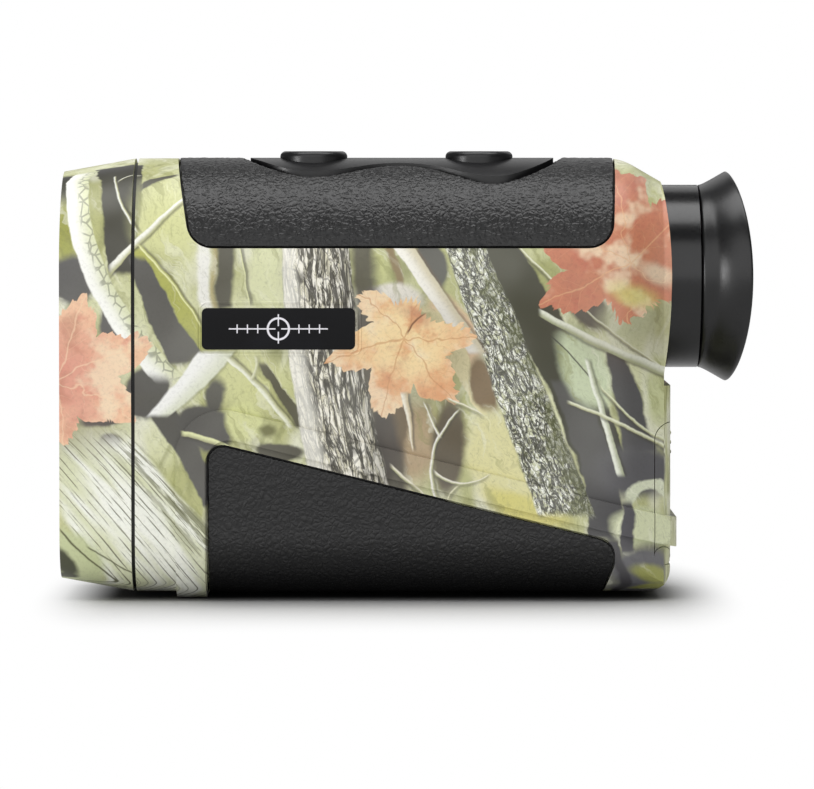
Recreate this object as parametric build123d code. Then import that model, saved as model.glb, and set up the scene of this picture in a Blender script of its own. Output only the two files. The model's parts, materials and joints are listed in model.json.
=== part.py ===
from build123d import *
import math
import os

# Handheld monocular laser rangefinder. Millimetres, +Z up, +X from the objective end
# towards the eyepiece, +Y to the right of someone looking through it. The origin is the
# middle of the footprint, on the plane of the lowest face (the foot of the raised band).

# ---------------- driving dimensions ----------------
LENGTH = 115.0
X_FRONT = -LENGTH / 2     # front face of the bezel
X_RIM = LENGTH / 2        # rearmost point of the eyecup
X_SEAM = -45.5            # rear face of the bezel
X_BODY = -44.9            # front face of the half shells
X_KNEE = 36.0             # where the sides turn in towards the rear
X_REAR_UP = 42.7          # rear face of the shells round the eyepiece
X_REAR_LOW = 43.9         # rear face below the eyepiece
Z_AXIS = 53.4             # optical axis
Z_EMIT = 23.5             # laser emitter axis
Z_BATT = 17.3             # battery axis
Z_BOTTOM = 1.05           # underside of the body
HALF_W = 19.8             # half width of the body, and radius of its round top
R_BOTTOM = 9.5            # long lower edges
R_KNEE = 9.0
REAR_R = 15.9             # rear end of the round top
REAR_LOW_HALF_W = 14.6    # half width of the rear face below the eyepiece
BULGE = 1.3               # of the rear face round the eyepiece
BAND_OUT = 1.05           # how far the moulded band stands proud
WALL = 2.6
PAD = 1.2                 # rubber grip thickness
PAD_PROUD = 0.2
GAP = 0.2                 # visible reveal round grips
TUBE_R = 15.35            # eyepiece tube
CUP_R = 17.67             # eyecup at its flare
BUTTONS = {"power": -15.6, "mode": 12.2}   # button centres along X
BUTTON_R = 5.65
BUTTON_TOP = 74.4
HINGE_X, HINGE_Z = 42.6, 7.2   # battery door hinge axis
BAR_X, BAR_Y = 30.5, 18.0      # lanyard bar
CLEAR_Y = 30.0            # clear of the body on either side
TOP_SPAN = (60, 90)       # z range of cutters through the top wall

# Screws: all share their shank and hole radii
SHANK_R = 1.0
PILOT_R = 1.02
CLEARANCE_R = 1.15
HEAD_HOLE_R = 2.05
SLOT = 0.22               # half width of the cross slot
SIDE_SCREWS = [(-40.0, 37.3, 16.62), (-8.0, 37.3, 16.62),
               (22.5, 32.5, 16.62), (-8.0, 8.2, 14.8)]        # x, z, y of the head seat
BEZEL_SCREWS = [(-11.0, 37.5), (11.0, 37.5), (-10.5, 9.6), (10.5, 9.6)]   # y, z

os.makedirs("parts", exist_ok=True)


# ---------------- helpers ----------------
def cylx(r, x0, x1, z, y=0.0):
    return Pos((x0 + x1) / 2, y, z) * Rot(0, 90, 0) * Cylinder(r, x1 - x0)


def cyly(r, y0, y1, x, z):
    return Pos(x, (y0 + y1) / 2, z) * Rot(90, 0, 0) * Cylinder(r, y1 - y0)


def cylz(r, z0, z1, x, y=0.0):
    return Pos(x, y, (z0 + z1) / 2) * Cylinder(r, z1 - z0)


def ringx(outer, inner, x0, x1, z):
    return cylx(outer, x0, x1, z) - cylx(inner, x0 - 1, x1 + 1, z)


def box(x0, x1, y0, y1, z0, z1):
    centre = Pos((x0 + x1) / 2, (y0 + y1) / 2, (z0 + z1) / 2)
    return centre * Box(x1 - x0, y1 - y0, z1 - z0)


def outline_face(points, radii):
    """Flat face through points (Vectors); radii maps a point's index to its corner radius."""
    corners = []   # start, middle and end of each corner's arc
    for i, point in enumerate(points):
        radius = radii.get(i, 0.0) if radii else 0.0
        if radius <= 0:
            corners.append((point, None, point))
            continue
        back = (points[i - 1] - point).normalized()
        ahead = (points[(i + 1) % len(points)] - point).normalized()
        half = math.acos(back.dot(ahead)) / 2
        reach = radius / math.tan(half)
        inward = (back + ahead).normalized()
        middle = point + inward * (radius / math.sin(half) - radius)
        corners.append((point + back * reach, middle, point + ahead * reach))
    edges = []
    for i, (start, middle, end) in enumerate(corners):
        if middle is not None:
            edges.append(Edge.make_three_point_arc(start, middle, end))
        following = corners[(i + 1) % len(corners)][0]
        if (following - end).length > 1e-6:
            edges.append(Edge.make_line(end, following))
    return Face(Wire(edges))


def prism_xz(points, radii=None, y0=-CLEAR_Y, y1=CLEAR_Y):
    face = outline_face([Vector(x, y0, z) for x, z in points], radii)
    return Solid.extrude(face, Vector(0, y1 - y0, 0))


def prism_xy(points, z0, z1, radii):
    face = outline_face([Vector(x, y, z0) for x, y in points], radii)
    return Solid.extrude(face, Vector(0, 0, z1 - z0))


def prism_yz(points, x0, x1, radii=None):
    face = outline_face([Vector(x0, y, z) for y, z in points], radii)
    return Solid.extrude(face, Vector(x1 - x0, 0, 0))


def revx(points, z, radii=None):
    """Turns a closed (x, radius) outline about the line parallel to X at height z."""
    face = outline_face([Vector(x, 0, z + r) for x, r in points], radii)
    return Solid.revolve(face, 360, Axis((0, 0, z), (1, 0, 0)))


def behind(curve, x_far, z_low, z_high):
    """Cutter behind a curve drawn upwards at y -40, carried on straight down and up."""
    low, high = curve @ 0, curve @ 1
    path = [high, Vector(high.X, -40, z_high), Vector(x_far, -40, z_high),
            Vector(x_far, -40, z_low), Vector(low.X, -40, z_low), low]
    edges = [Edge.make_line(a, b) for a, b in zip(path, path[1:])]
    return Solid.extrude(Face(Wire([curve] + edges)), Vector(0, 80, 0))


def lens(x0, x1, rim_r, sag0, sag1, z):
    """Round lens between rim planes x0 and x1; a positive sag bulges outwards."""
    def surface(start, end, x_rim, outward, sag):
        if sag == 0:
            return Edge.make_line(start, end)
        sphere_r = (rim_r**2 + sag**2) / (2 * abs(sag))
        drop = sphere_r - math.sqrt(sphere_r**2 - (rim_r / 2)**2)
        x_mid = x_rim + outward * (sag - math.copysign(drop, sag))
        return Edge.make_three_point_arc(start, Vector(x_mid, 0, z + rim_r / 2), end)

    front, rear = Vector(x0 - sag0, 0, z), Vector(x1 + sag1, 0, z)
    front_rim, rear_rim = Vector(x0, 0, z + rim_r), Vector(x1, 0, z + rim_r)
    edges = [surface(front, front_rim, x0, -1, sag0), Edge.make_line(front_rim, rear_rim),
             surface(rear_rim, rear, x1, 1, sag1), Edge.make_line(rear, front)]
    return Solid.revolve(Face(Wire(edges)), 360, Axis((0, 0, z), (1, 0, 0)))


def grow(points, distance):
    """Moves each side of an outline outwards by distance, whichever way round it runs."""
    area = sum(a[0] * b[1] - b[0] * a[1] for a, b in zip(points, points[1:] + points[:1]))
    turn = 1 if area > 0 else -1

    def normal(a, b):
        dx, dy = b[0] - a[0], b[1] - a[1]
        size = math.hypot(dx, dy)
        return turn * dy / size, -turn * dx / size

    grown = []
    for i, point in enumerate(points):
        n1 = normal(points[i - 1], point)
        n2 = normal(point, points[(i + 1) % len(points)])
        scale = distance / (1 + n1[0] * n2[0] + n1[1] * n2[1])
        grown.append((point[0] + scale * (n1[0] + n2[0]), point[1] + scale * (n1[1] + n2[1])))
    return grown


def save(name, *shapes):
    """Writes all the shapes' solids to one file."""
    solids = [solid for shape in shapes for solid in shape.solids()]
    export_step(solids[0] if len(solids) == 1 else Compound(solids), f"parts/{name}.step")


# ---------------- the body's outer form ----------------
def body(off, x0=X_BODY):
    """The body's form, offset outwards by off, from x0 to its rear."""
    half_w = HALF_W + off
    z_low = Z_BOTTOM - off
    x_up, x_low = X_REAR_UP + off, X_REAR_LOW + off
    knee = X_KNEE + off * 0.25
    tip = REAR_R + off * 0.9
    x_end = x_up + BULGE + 0.05
    tip_r = 0.6 if off > -1 else 0   # no rounding on the deep offsets

    top = revx([(x0, 0), (x0, half_w), (knee, half_w), (x_up, tip), (x_end, tip), (x_end, 0)],
               Z_AXIS, {2: R_KNEE, 3: tip_r})
    middle = prism_xy([(x0, -half_w), (knee, -half_w), (x_up, -tip), (x_end, -tip),
                       (x_end, tip), (x_up, tip), (knee, half_w), (x0, half_w)],
                      z_low, Z_AXIS, {1: R_KNEE, 6: R_KNEE, 2: tip_r, 5: tip_r})
    # bulged rear face round the eyepiece
    bulge = Edge.make_three_point_arc(Vector(x_up, -40, Z_AXIS - REAR_R),
                                      Vector(x_up + BULGE, -40, Z_AXIS),
                                      Vector(x_up, -40, Z_AXIS + REAR_R))
    cutter = behind(bulge, x_up + 12, -5, 95)
    top = top - cutter
    middle = middle - cutter

    low_w = REAR_LOW_HALF_W + off * 0.8
    low_r = 3.4 + off
    low_part = prism_xy([(x0, -half_w), (knee, -half_w), (x_low, -low_w),
                         (x_low, low_w), (knee, half_w), (x0, half_w)],
                        z_low, 35.5 + off, {1: R_KNEE, 4: R_KNEE, 2: low_r, 3: low_r})
    lower = middle + low_part
    # round the long lower edges, then the lower rear edge
    edge_r = R_BOTTOM + off
    wide = half_w + 5
    across = prism_yz([(-wide, 95), (-wide, 60), (-half_w, 60), (-half_w, z_low),
                       (half_w, z_low), (half_w, 60), (wide, 60), (wide, 95)],
                      x0 - 1, 60, {3: edge_r, 4: edge_r})
    side = prism_xz([(x0 - 1, z_low), (x_low, z_low), (x_low, 95), (x0 - 1, 95)],
                    {1: 4.2 + off}, -40, 40)
    lower = lower & across & side
    return top + lower


def section(off, x):
    """Cross-section of the body at x, offset by off, as a face."""
    w = HALF_W + off
    low = Z_BOTTOM - off
    r = R_BOTTOM + off
    nip = r - r * math.sin(math.pi / 4)   # from a square corner in to its arc's middle

    def line(y0, z0, y1, z1):
        return Edge.make_line(Vector(x, y0, z0), Vector(x, y1, z1))

    def arc(*points):
        return Edge.make_three_point_arc(*[Vector(x, y, z) for y, z in points])

    return Face(Wire([
        line(-w + r, low, w - r, low),
        arc((w - r, low), (w - nip, low + nip), (w, low + r)),
        line(w, low + r, w, Z_AXIS),
        arc((w, Z_AXIS), (0, Z_AXIS + w), (-w, Z_AXIS)),
        line(-w, Z_AXIS, -w, low + r),
        arc((-w, low + r), (-w + nip, low + nip), (-w + r, low)),
    ]))


def slab(off, x0, x1):
    return Solid.extrude(section(off, x0), Vector(x1 - x0, 0, 0))


CORE = body(-PAD)
CAVITY = body(-WALL, X_BODY - 1)

# moulded band, (x, z): runs up, over a round corner and down to the rear
BAND = [(-38.2, -3), (-38.2, 33.9), (48, 12.8), (48, 7.95), (-33.3, 27.8), (-33.3, -3)]
band_mask = prism_xz(BAND, {1: 8.0, 4: 4.0})
FORM = body(0) + (body(BAND_OUT) & band_mask)

# ---------------- grips and button panel ----------------
# side outlines, (x, z), with corner radii
TOP_GRIP = [(-38.9, 78), (-35.6, 58.55), (34.0, 58.55), (34.9, 78)]
TOP_RADII = {1: 4.2, 2: 4.0}
LOW_GRIP = [(-32.9, -4), (-32.9, 26.4), (34.3, 9.85), (34.3, 6.0), (32.4, 0.6), (32.4, -4)]
LOW_RADII = {1: 2.5, 2: 3.0, 3: 2.0, 4: 2.0}

# the panel sits in an opening of the top grip; halves of both outlines from above, (x, y)
OPENING = [(-27.5, 0), (-25.6, 5.2), (-20.6, 9.4), (-15.5, 10.6), (-9, 9.1), (-2, 7.0),
           (5, 8.7), (11.5, 11.7), (16, 12.0), (21, 9.7), (24.9, 5.2), (26.0, 0)]
PANEL = [(-26.2, 0), (-24.5, 4.4), (-20.1, 8.2), (-15.5, 9.2), (-9, 7.8), (-2, 5.8),
         (5, 7.3), (11.5, 10.1), (16, 10.5), (20.4, 8.4), (23.7, 4.4), (24.7, 0)]


def grip_recess(points, radii):
    """Cutter for a grip and the reveal round it, down to the core."""
    return prism_xz(grow(points, GAP), {i: r + GAP for i, r in radii.items()}) - CORE


def blob(points):
    """Smooth upright prism from half an outline, mirrored across Y."""
    loop = points + [(x, -y) for x, y in reversed(points[1:-1])]
    edge = Edge.make_spline([Vector(x, y, TOP_SPAN[0]) for x, y in loop], periodic=True)
    return Solid.extrude(Face(Wire([edge])), Vector(0, 0, TOP_SPAN[1] - TOP_SPAN[0]))


grip_layer = body(PAD_PROUD) - CORE
save("top_grip", (grip_layer & prism_xz(TOP_GRIP, TOP_RADII)) - blob(OPENING))
save("bottom_grip", grip_layer & prism_xz(LOW_GRIP, LOW_RADII))

panel = (body(0.1) - body(-PAD + 0.02)) & blob(PANEL)
for button_x in BUTTONS.values():
    panel = panel - cylz(BUTTON_R + 0.15, *TOP_SPAN, button_x)
save("button_panel", panel)

# ---------------- shells ----------------
shell = FORM - CAVITY
shell = shell - grip_recess(TOP_GRIP, TOP_RADII)
shell = shell - grip_recess(LOW_GRIP, LOW_RADII)

# rear opening for the eyepiece tube
shell = shell - cylx(TUBE_R + 0.05, 36.0, 47.0, Z_AXIS)

# battery door opening, round-cornered at the top
TROUGH_R = 1.55           # trough on the hinge axis for the door's knuckles
EAR_Y = 13.6              # inner faces of the end ears that hold the pin
LUGS = [(-8.8, -3.2), (3.2, 8.8)]   # y ranges of the lugs between the knuckles
PIN_HOLE_R = 0.62


def door_prism(gap, corner_r):
    """Side outline of the door opening, drawn in by gap, as a prism."""
    x, low, high = 41.07 + gap, HINGE_Z - TROUGH_R + gap, 29.5 - gap
    return prism_xz([(x, low), (x, high), (50, high), (50, low)], {1: corner_r})


def hinge_rod(r, y0, y1):
    return cyly(r, y0, y1, HINGE_X, HINGE_Z)


shell = shell - door_prism(0, 3.0)
shell = shell - hinge_rod(TROUGH_R, -EAR_Y, EAR_Y)
for y0, y1 in [(-CLEAR_Y, -EAR_Y), (EAR_Y, CLEAR_Y)]:
    shell = shell + (FORM & (hinge_rod(1.5, y0, y1) + box(41.0, HINGE_X, y0, y1, 5.0, HINGE_Z)))
for y0, y1 in LUGS:
    shell = shell + hinge_rod(1.2, y0, y1) + box(41.35, HINGE_X, y0, y1, 3.0, HINGE_Z)
    shell = shell + box(41.35, 43.3, y0, y1, 3.0, 5.7)
shell = shell - hinge_rod(PIN_HOLE_R, -14.7, 14.7)

# buttons: pocket and stem hole
for button_x in BUTTONS.values():
    shell = shell - cylz(BUTTON_R + 0.25, 71.2, TOP_SPAN[1], button_x)
    shell = shell - cylz(2.1, *TOP_SPAN, button_x)

# badge recesses on both sides, each with a fine engraved frame line round it
BADGE = [(-33.7, 41.75), (-8.6, 41.75), (-8.6, 48.4), (-33.7, 48.4)]   # x, z
BADGE_Y = HALF_W - 0.65   # inner face


def badge_prism(margin, corner_r, y0, y1):
    return prism_xz(grow(BADGE, margin), {i: corner_r for i in range(4)}, y0, y1)


shell = shell - badge_prism(0.12, 0.9, -CLEAR_Y, -BADGE_Y)
shell = shell - badge_prism(0.12, 0.9, BADGE_Y, CLEAR_Y)
frame = badge_prism(0.75, 1.2, -CLEAR_Y, CLEAR_Y) - badge_prism(0.55, 1.0, -31, 31)
shell = shell - (frame - body(-0.12))

# bosses for the side screws and ribs for the bezel screws
RIB = 2.3                 # half height of a rib
inner_fill = body(-1.6)
for x, z, _ in SIDE_SCREWS:
    shell = shell + (cyly(2.8, -19, 19, x, z) & inner_fill)
for y, z in BEZEL_SCREWS:
    side = 1 if y > 0 else -1
    y0, y1 = sorted((y - RIB * side, 18.6 * side))
    shell = shell + (box(X_BODY, -37.0, y0, y1, z - RIB, z + RIB) & inner_fill)

# lanyard pocket on the right side; its block merges with the boss beside it
shell = shell + (box(24.6, 35.7, 13.9, 19, 28.6, 37.6) & inner_fill)
shell = shell - box(26.5, 34.5, 15.2, 30, 30.0, 36.2)
shell = shell - cylz(1.02, 29.0, 37.2, BAR_X, BAR_Y)

left = shell & box(-70, 70, -40, 0, -10, 100)
right = shell & box(-70, 70, 0, 40, -10, 100)
for x, z, seat in SIDE_SCREWS:
    left = left - cyly(PILOT_R, -14.0, 1, x, z)
    right = right - cyly(CLEARANCE_R, -1, 30, x, z) - cyly(HEAD_HOLE_R, seat - 0.02, 30, x, z)
for y, z in BEZEL_SCREWS:
    hole = cylx(PILOT_R, X_BODY - 1, -41.2, z, y)
    if y < 0:
        left = left - hole
    else:
        right = right - hole
save("left_shell", left)
save("right_shell", right)

BADGE_FACE = HALF_W + 0.12
save("side_badges", badge_prism(0, 0.8, -BADGE_FACE, -BADGE_Y),
     badge_prism(0, 0.8, BADGE_Y, BADGE_FACE))
save("lanyard_bar", cylz(1.0, 29.05, 37.15, BAR_X, BAR_Y))

# ---------------- screws ----------------
side_screws = []
for x, z, seat in SIDE_SCREWS:
    screw = cyly(SHANK_R, -13.5, seat + 0.2, x, z) + cyly(1.95, seat, seat + 1.3, x, z)
    y0, y1 = seat + 0.7, seat + 3
    side_screws.append(screw - (box(x - 1.3, x + 1.3, y0, y1, z - SLOT, z + SLOT)
                                + box(x - SLOT, x + SLOT, y0, y1, z - 1.3, z + 1.3)))
save("side_screws", *side_screws)

bezel_screws = []
for y, z in BEZEL_SCREWS:
    screw = cylx(SHANK_R, -54.6, -41.6, z, y) + cylx(1.9, -55.9, -54.55, z, y)
    bezel_screws.append(screw - (box(-57, -55.2, y - 1.25, y + 1.25, z - SLOT, z + SLOT)
                                 + box(-57, -55.2, y - SLOT, y + SLOT, z - 1.25, z + 1.25)))
save("bezel_screws", *bezel_screws)

# ---------------- front bezel and windows ----------------
# name, axis z, window seat radius, retaining ring bore, flare radius at the plate's face
# and at the cutter's front end
APERTURES = [("objective", Z_AXIS, 12.4, 11.0, 12.8, 13.15),
             ("emitter", Z_EMIT, 8.6, 7.4, 9.0, 9.5)]
SEAT_LIP = 1.0            # bezel bore is this much smaller in radius than the seat
X_SEAT = -54.8            # window seat
X_PLATE = -57.15          # face of the front plate

bezel = Solid.make_loft([section(-2.2, X_FRONT).outer_wire(),
                         section(-0.02, X_SEAM).outer_wire()], True)
bezel = bezel - slab(-5.6, X_FRONT - 1, -56.2)
bezel = bezel - slab(-WALL - 0.5, -52.4, X_SEAM + 1)
plate = slab(-5.75, X_PLATE, -56.22)
window_rings = []
for name, z, seat_r, ring_bore, flare_r, mouth_r in APERTURES:
    bore = seat_r - SEAT_LIP
    bezel = bezel - cylx(bore, -60, -50, z) - cylx(seat_r, X_SEAT, -50, z)
    plate = plate - revx([(-58, 0), (-58, mouth_r), (X_PLATE, flare_r),
                          (-56.0, bore + 0.1), (-55, bore + 0.1), (-55, 0)], z)
    save(f"{name}_window", cylx(seat_r - 0.05, -54.75, -53.25, z))
    window_rings.append(ringx(seat_r - 0.07, ring_bore, -53.22, -52.45, z))
for y, z in BEZEL_SCREWS:
    bezel = bezel - cylx(CLEARANCE_R, -60, -50, z, y) - cylx(HEAD_HOLE_R, -60, -54.5, z, y)
save("front_bezel", bezel)
save("front_plate", plate)
save("window_rings", *window_rings)
save("body_gasket", slab(-0.75, X_SEAM + 0.01, X_BODY - 0.01)
     - slab(-2.5, X_SEAM - 1, X_BODY + 1))

# ---------------- objective ----------------
OBJECTIVE_TUBE = [(-52.4, 11.05), (-52.4, 12.3), (-36, 12.3), (-32.5, 10.2), (0.0, 10.2),
                  (0.0, 9.0), (-33, 9.0), (-37, 10.2), (-44.0, 10.2), (-44.0, 11.05)]  # x, r
save("objective_tube", revx(OBJECTIVE_TUBE, Z_AXIS))
save("objective_crown_lens", lens(-49.0, -46.9, 11.0, 1.5, 1.2, Z_AXIS))
save("objective_flint_lens", lens(-46.85, -44.1, 11.0, -1.2, -0.5, Z_AXIS))

# ---------------- prisms and display ----------------
CASE_X0, CASE_X1 = 0.05, 27.0
CASE_Y = 12.0             # half width
CASE_Z0, CASE_Z1 = 42.0, 64.0
CASE_WALL = 1.3
PRISM_Y = 8.0             # half width of both prisms

case = box(CASE_X0, CASE_X1, -CASE_Y, CASE_Y, CASE_Z0, CASE_Z1)
case = case - box(CASE_X0 + CASE_WALL, CASE_X1 - CASE_WALL, -CASE_Y + CASE_WALL,
                  CASE_Y - CASE_WALL, CASE_Z0 + CASE_WALL, 70)
# light openings front and rear, and one in the floor over the receiver
case = case - cylx(9.0, -1, 3, Z_AXIS) - cylx(8.4, 24, 28, Z_AXIS)
case = case - box(7.5, 16.5, -4.5, 4.5, 40, 45)
save("prism_housing", case)
save("prism_cover", box(CASE_X0, CASE_X1, -CASE_Y, CASE_Y, CASE_Z1 + 0.05, 65.2))

HALF_PENTA = [(2.2, 44.4), (2.2, 60.8), (4.6, 61.8), (18.6, 47.8), (15.2, 44.4)]        # x, z
ROOF_PRISM = [(5.0, 62.0), (19.0, 48.0), (21.6, 45.4), (24.6, 45.4), (24.6, 62.0)]      # x, z
save("half_penta_prism", prism_xz(HALF_PENTA, None, -PRISM_Y, PRISM_Y))
roof = prism_xz(ROOF_PRISM, None, -PRISM_Y, PRISM_Y)
for side in (-1, 1):      # slopes of the roof
    roof = roof - prism_yz([(9 * side, 58), (9 * side, 64), (0.0, 64), (0.0, 62.4)], 0, 30)
save("roof_prism", roof)

display_frame = box(CASE_X1 + 0.05, 30.0, -CASE_Y, CASE_Y, CASE_Z0, 65.0)
display_frame = display_frame - box(26, 31, -5, 5, Z_AXIS - 4.5, Z_AXIS + 4.5)
display_frame = display_frame - box(27.9, 31, -6.1, 6.1, Z_AXIS - 5.6, Z_AXIS + 5.6)
save("display_frame", display_frame)
save("reticle_display", box(28.0, 29.5, -6.0, 6.0, Z_AXIS - 5.5, Z_AXIS + 5.5))

# receiver under the prism
save("receiver_photodiode", cylz(4.1, 38.3, 41.5, 12.0) + cylz(4.5, 37.5, 38.3, 12.0))
save("receiver_board", box(6.0, 18.0, -9, 9, 36.2, 37.4))

# ---------------- laser emitter ----------------
EMITTER_TUBE = [(-52.4, 8.1), (-52.4, 9.3), (-40, 9.3), (-22, 6.2), (-17.6, 6.2),
                (-17.6, 2.9), (-24.0, 2.9), (-24.0, 4.0), (-41, 7.4), (-46.3, 7.4),
                (-46.3, 8.1)]   # x, r
LEAD_Y = 1.2
save("emitter_tube", revx(EMITTER_TUBE, Z_EMIT))
save("collimator_lens", lens(-48.6, -46.4, 8.0, 1.4, 0.0, Z_EMIT))
save("lens_lock_rings", ringx(11.0, 9.9, -52.3, -49.4, Z_AXIS),
     ringx(8.05, 7.0, -52.3, -49.05, Z_EMIT))
diode = cylx(2.85, -21.5, -17.7, Z_EMIT)
laser_board = box(-17.5, -16.3, -7, 7, Z_EMIT - 7, Z_EMIT + 7)
for y in (LEAD_Y, -LEAD_Y):
    diode = diode + cylx(0.3, -17.8, -15.2, Z_EMIT, y)
    laser_board = laser_board - cylx(0.5, -19, -15, Z_EMIT, y)
save("laser_diode", diode)
save("laser_board", laser_board)

# ---------------- electronics ----------------
BOARD_Y = 14.0            # inner face of the main board
CHIP_Y = BOARD_Y - 0.02   # chips stop just short of it
CHIPS = [(-28, -20, 12.9, 19, 27), (-14, -7, 12.6, 16, 21), (0, 5, 11.4, 27.6, 31.6),
         (-4, -1, 12.9, 14, 19), (-31, -30, 13.3, 14, 16),
         (-18, -16, 13.3, 14, 15)]   # x0, x1, inner y, z0, z1
board = box(-34, 24, BOARD_Y, BOARD_Y + 1.2, 12.0, 33.0)
save("main_board", board - cyly(3.1, 10, 20, *SIDE_SCREWS[2][:2]))   # clears a screw boss
save("board_chips", *[box(x0, x1, y, CHIP_Y, z0, z1) for x0, x1, y, z0, z1 in CHIPS],
     cyly(1.6, 11.6, CHIP_Y, -12, 28))
save("button_board", box(-25, 21, -8, 8, 66.0, 67.0))

# buttons with a dished top and a stem, over their switches and seals
DISH_R = 22.0
DISH_DEPTH = 0.4
switches, seals = [], []
for name, x in BUTTONS.items():
    save(f"{name}_switch_plunger", cylz(1.5, 68.55, 69.3, x))
    cap = cylz(BUTTON_R, 71.9, BUTTON_TOP, x)
    cap = fillet(cap.edges().filter_by(GeomType.CIRCLE).group_by(Axis.Z)[-1], 0.95)
    cap = cap + cylz(1.58, 69.34, 72.5, x)
    dish = Pos(x, 0, BUTTON_TOP + DISH_R - DISH_DEPTH) * Sphere(DISH_R)
    save(f"{name}_button", cap - dish)
    switches.append(box(x - 3, x + 3, -3, 3, 67.02, 68.7) - cylz(1.55, 68.0, 70, x))
    seals.append(cylz(2.9, 69.35, 70.2, x) - cylz(1.63, 69, 71, x))
save("tact_switches", *switches)
save("stem_seals", *seals)

# flexible cable from the main board up to the button board
CABLE = [(13.8, 30.5), (12.9, 36.0), (13.5, 56.5), (8.25, 66.4)]   # centre line, (y, z)
CABLE_HALF = 0.14         # half thickness
one_side, other_side = [], []
for i, (y, z) in enumerate(CABLE):
    before, after = CABLE[max(0, i - 1)], CABLE[min(len(CABLE) - 1, i + 1)]
    dy, dz = after[0] - before[0], after[1] - before[1]
    scale = CABLE_HALF / math.hypot(dy, dz)
    one_side.append((y - dz * scale, z + dy * scale))
    other_side.append((y + dz * scale, z - dy * scale))
save("flex_cable", prism_yz(one_side + other_side[::-1], -4.8, -1.0))

# ---------------- battery, its box and door ----------------
BOX_OFF = -WALL - 0.15    # the box's end flange fits inside the shells
flange = slab(BOX_OFF, 39.3, 40.95) & box(30, 50, -18, 18, -5, 32.5) & body(BOX_OFF, 30)
battery_box = cylx(9.4, 8.8, 40.0, Z_BATT) + flange
battery_box = battery_box - cylx(8.1, 10.2, 50, Z_BATT)
battery_box = battery_box - ringx(10.5, 9.35, 40.4, 42.0, Z_BATT)   # gasket groove
save("battery_box", battery_box)
save("battery_gasket", ringx(10.45, 9.4, 40.42, 41.02, Z_BATT))
save("battery_cell", cylx(7.75, 11.6, 37.9, Z_BATT) + cylx(3.0, 10.75, 11.6, Z_BATT))
save("positive_contact", cylx(5.0, 10.25, 10.7, Z_BATT))

KNUCKLE_Y = EAR_Y - 0.2
door = FORM & door_prism(0.12, 2.9)
# rounded lower edge on the hinge axis
door = door - box(30, 60, -CLEAR_Y, CLEAR_Y, 0, HINGE_Z)
door = door + hinge_rod(1.3, -KNUCKLE_Y, KNUCKLE_Y)
for y0, y1 in LUGS:
    door = door - hinge_rod(1.42, y0 - 0.2, y1 + 0.2)
for y0, y1 in [(-CLEAR_Y, -KNUCKLE_Y), (KNUCKLE_Y, CLEAR_Y)]:
    door = door - hinge_rod(1.62, y0, y1)
door = door - hinge_rod(PIN_HOLE_R, -15.3, 15.3)
# slot for the latch and seat for its pad
door = door - box(42.5, 50, -5.1, 5.1, 21.7, 29.5)
door = door - box(41.9, 50, -3.1, 3.1, 24.3, 29.5)
door = door - box(43.0, 50, -4.6, 4.6, 16.4, 21.2)
save("battery_door", door)
save("hinge_pin", hinge_rod(0.6, -14.6, 14.6))

LATCH_X = 43.95           # rear face, with three raised ridges
latch = box(42.55, LATCH_X, -5.0, 5.0, 23.0, 28.1)
for z in (24.0, 25.6, 27.2):
    latch = latch + cyly(0.5, -4.2, 4.2, LATCH_X, z)
latch = latch + box(41.95, 42.7, -3.0, 3.0, 25.8, 27.8)
save("door_latch", latch)
save("door_pad", box(43.02, 44.3, -4.5, 4.5, 16.5, 21.1))

# coil spring on the inside of the door
coil = Helix(pitch=1.15, height=2.3, radius=3.6, center=(0, 0, 0))
wire_section = Plane(origin=coil @ 0, z_dir=coil % 0) * Circle(0.35)
spring = sweep(wire_section, path=coil)
save("battery_spring", Pos(38.42, 0, Z_BATT) * Rot(0, 90, 0) * spring)

# ---------------- eyepiece ----------------
# turned outlines, (x, r)
EYE_TUBE = [(30.1, 8.0), (30.1, 13.2), (37.5, 13.2), (37.5, TUBE_R), (48.85, TUBE_R),
            (48.85, 12.1), (31.3, 12.1), (31.3, 8.0)]
OCULAR_CELL = [(33.5, 7.8), (33.5, 12.05), (41.4, 12.05), (41.4, 10.6), (46.5, 10.6),
               (46.5, 9.05), (34.4, 9.05), (34.4, 7.8)]
DIOPTER_RING = [(43.6, 10.65), (43.6, 12.05), (48.95, 12.05), (48.95, 13.5), (51.0, 13.5),
                (51.0, 8.9), (50.0, 8.9), (49.2, 10.65)]
EYECUP = [(48.95, 13.52), (48.95, TUBE_R), (49.4, TUBE_R), (53.6, CUP_R), (57.6, 18.5),
          (57.6, 17.3), (53.8, 16.2), (51.7, 14.7), (51.0, 13.52)]
KEY_X = 37.0              # focus key

tube = revx(EYE_TUBE, Z_AXIS)
tube = tube - ringx(20, 14.3, 38.4, 39.8, Z_AXIS)   # seal groove
tube = tube - box(KEY_X - 3, KEY_X + 3, 11.0, 14.0, Z_AXIS - 0.85, Z_AXIS + 0.85)   # key slot
save("eyepiece_tube", tube)
save("eyepiece_seal", ringx(TUBE_R, 14.32, 38.45, 39.75, Z_AXIS))
save("ocular_cell", revx(OCULAR_CELL, Z_AXIS) - cyly(0.72, 10.0, 14, KEY_X, Z_AXIS))
save("focus_key", cyly(0.7, 10.05, 13.1, KEY_X, Z_AXIS))
save("field_lens", lens(35.4, 37.0, 9.0, 0.95, 1.0, Z_AXIS))
save("lens_spacer", ringx(9.0, 8.2, 37.25, 41.2, Z_AXIS))
save("eye_lens", lens(41.35, 44.0, 9.0, 0.6, 1.5, Z_AXIS))
save("ocular_lock_ring", ringx(9.0, 8.1, 44.36, 45.8, Z_AXIS))
save("diopter_ring", revx(DIOPTER_RING, Z_AXIS))

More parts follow.
